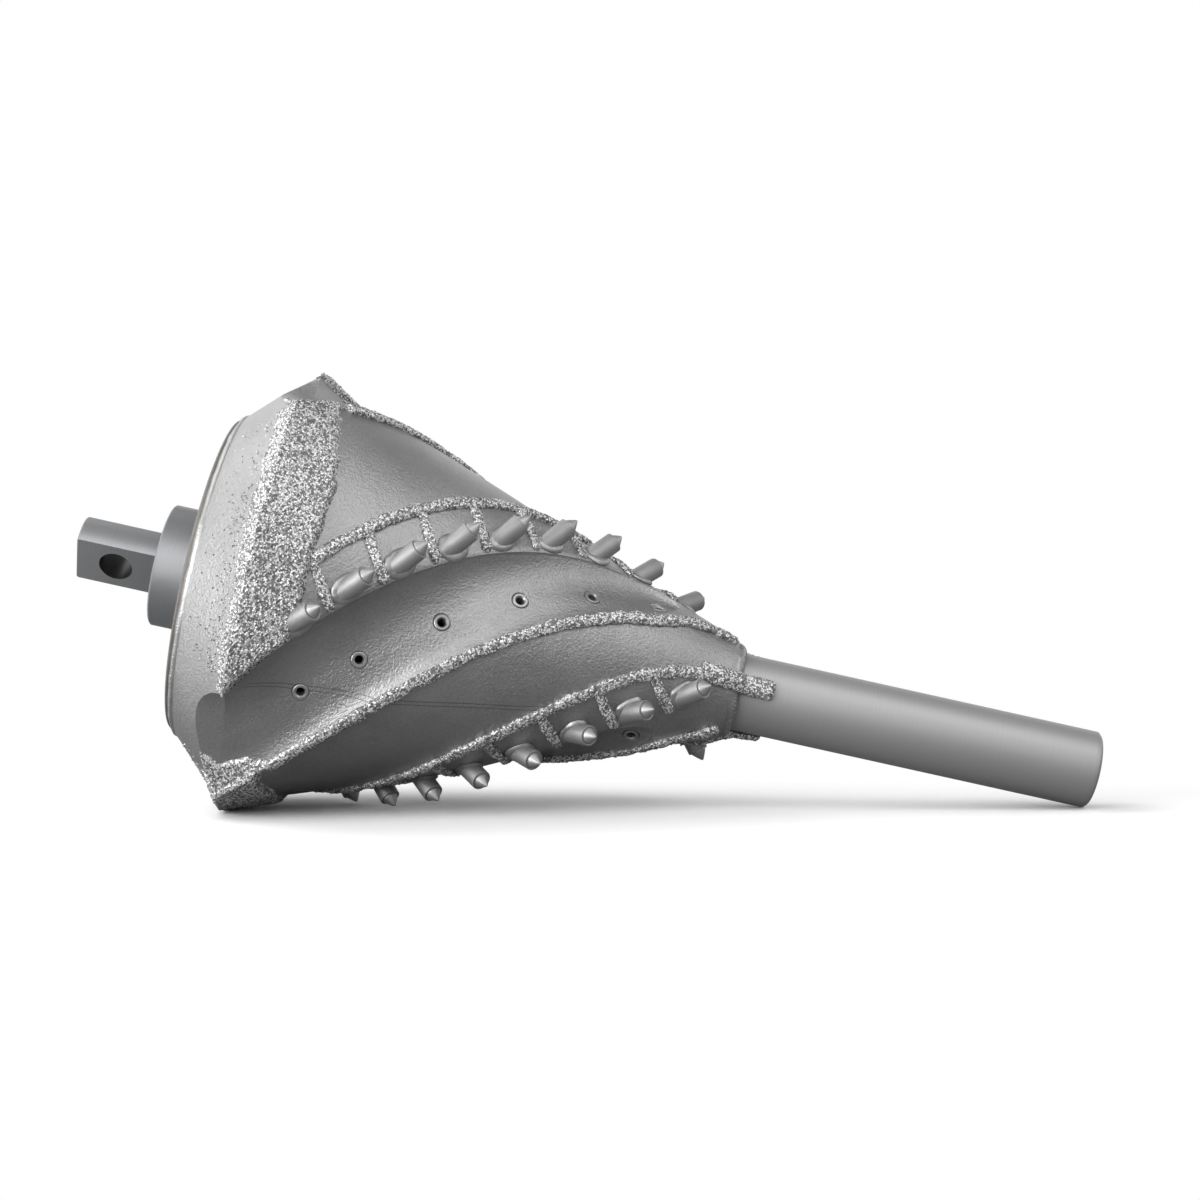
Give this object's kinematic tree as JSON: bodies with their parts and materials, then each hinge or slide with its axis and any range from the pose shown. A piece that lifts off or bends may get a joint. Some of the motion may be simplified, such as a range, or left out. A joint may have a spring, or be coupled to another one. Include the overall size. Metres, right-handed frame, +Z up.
{
  "type": "button reamer",
  "caption": "Fluted cone reamer for horizontal drilling, with rows of carbide-tipped cutters, hardfaced beads, a drive pipe and a towing eye.",
  "frame": {"origin": "middle of the footprint on the floor that the tool lies on", "axes": "+Z up, +X towards the drive pipe's open end, with the tool's axis sloping down by the rest tilt"},
  "size_m": [1.0478, 0.459, 0.4483],
  "materials": {
    "cast_steel": "shot-blasted casting with a fine orange-peel grain",
    "plate_steel": "flame-cut plate, dull",
    "machined_steel": "turned and milled, satin",
    "pipe_steel": "satin turned tube",
    "holder_steel": "turned, satin",
    "carbide": "sintered carbide, ground and shiny",
    "nozzle_steel": "turned ring",
    "hardfacing": "crushed carbide grit in a brazed matrix, sparkling",
    "weld_metal": "brushed weld bead"
  },
  "bodies": {
    "root": {"reamer_body": "cast_steel", "rear_plate": "plate_steel", "rear_weld": "weld_metal", "tow_eye": "machined_steel", "drive_pipe": "pipe_steel", "nose_weld": "weld_metal", "cutter_a1": "holder_steel", "cutter_a2": "holder_steel", "cutter_a3": "holder_steel", "cutter_a4": "holder_steel", "cutter_a5": "holder_steel", "cutter_a6": "holder_steel", "cutter_a7": "holder_steel", "cutter_a8": "holder_steel", "cutter_a9": "holder_steel", "tips_a": "carbide", "nozzles_a": "nozzle_steel", "gauge_pad_a": "hardfacing", "row_bead_a": "hardfacing", "ridge_bead_a": "hardfacing", "divider_beads_a": "hardfacing", "nose_fin_a": "hardfacing", "cutter_welds_a": "weld_metal", "cutter_b1": "holder_steel", "cutter_b2": "holder_steel", "cutter_b3": "holder_steel", "cutter_b4": "holder_steel", "cutter_b5": "holder_steel", "cutter_b6": "holder_steel", "cutter_b7": "holder_steel", "cutter_b8": "holder_steel", "cutter_b9": "holder_steel", "tips_b": "carbide", "nozzles_b": "nozzle_steel", "gauge_pad_b": "hardfacing", "row_bead_b": "hardfacing", "ridge_bead_b": "hardfacing", "divider_beads_b": "hardfacing", "nose_fin_b": "hardfacing", "cutter_welds_b": "weld_metal", "cutter_c1": "holder_steel", "cutter_c2": "holder_steel", "cutter_c3": "holder_steel", "cutter_c4": "holder_steel", "cutter_c5": "holder_steel", "cutter_c6": "holder_steel", "cutter_c7": "holder_steel", "cutter_c8": "holder_steel", "cutter_c9": "holder_steel", "tips_c": "carbide", "nozzles_c": "nozzle_steel", "gauge_pad_c": "hardfacing", "row_bead_c": "hardfacing", "ridge_bead_c": "hardfacing", "divider_beads_c": "hardfacing", "nose_fin_c": "hardfacing", "cutter_welds_c": "weld_metal"}
  },
  "joints": []
}
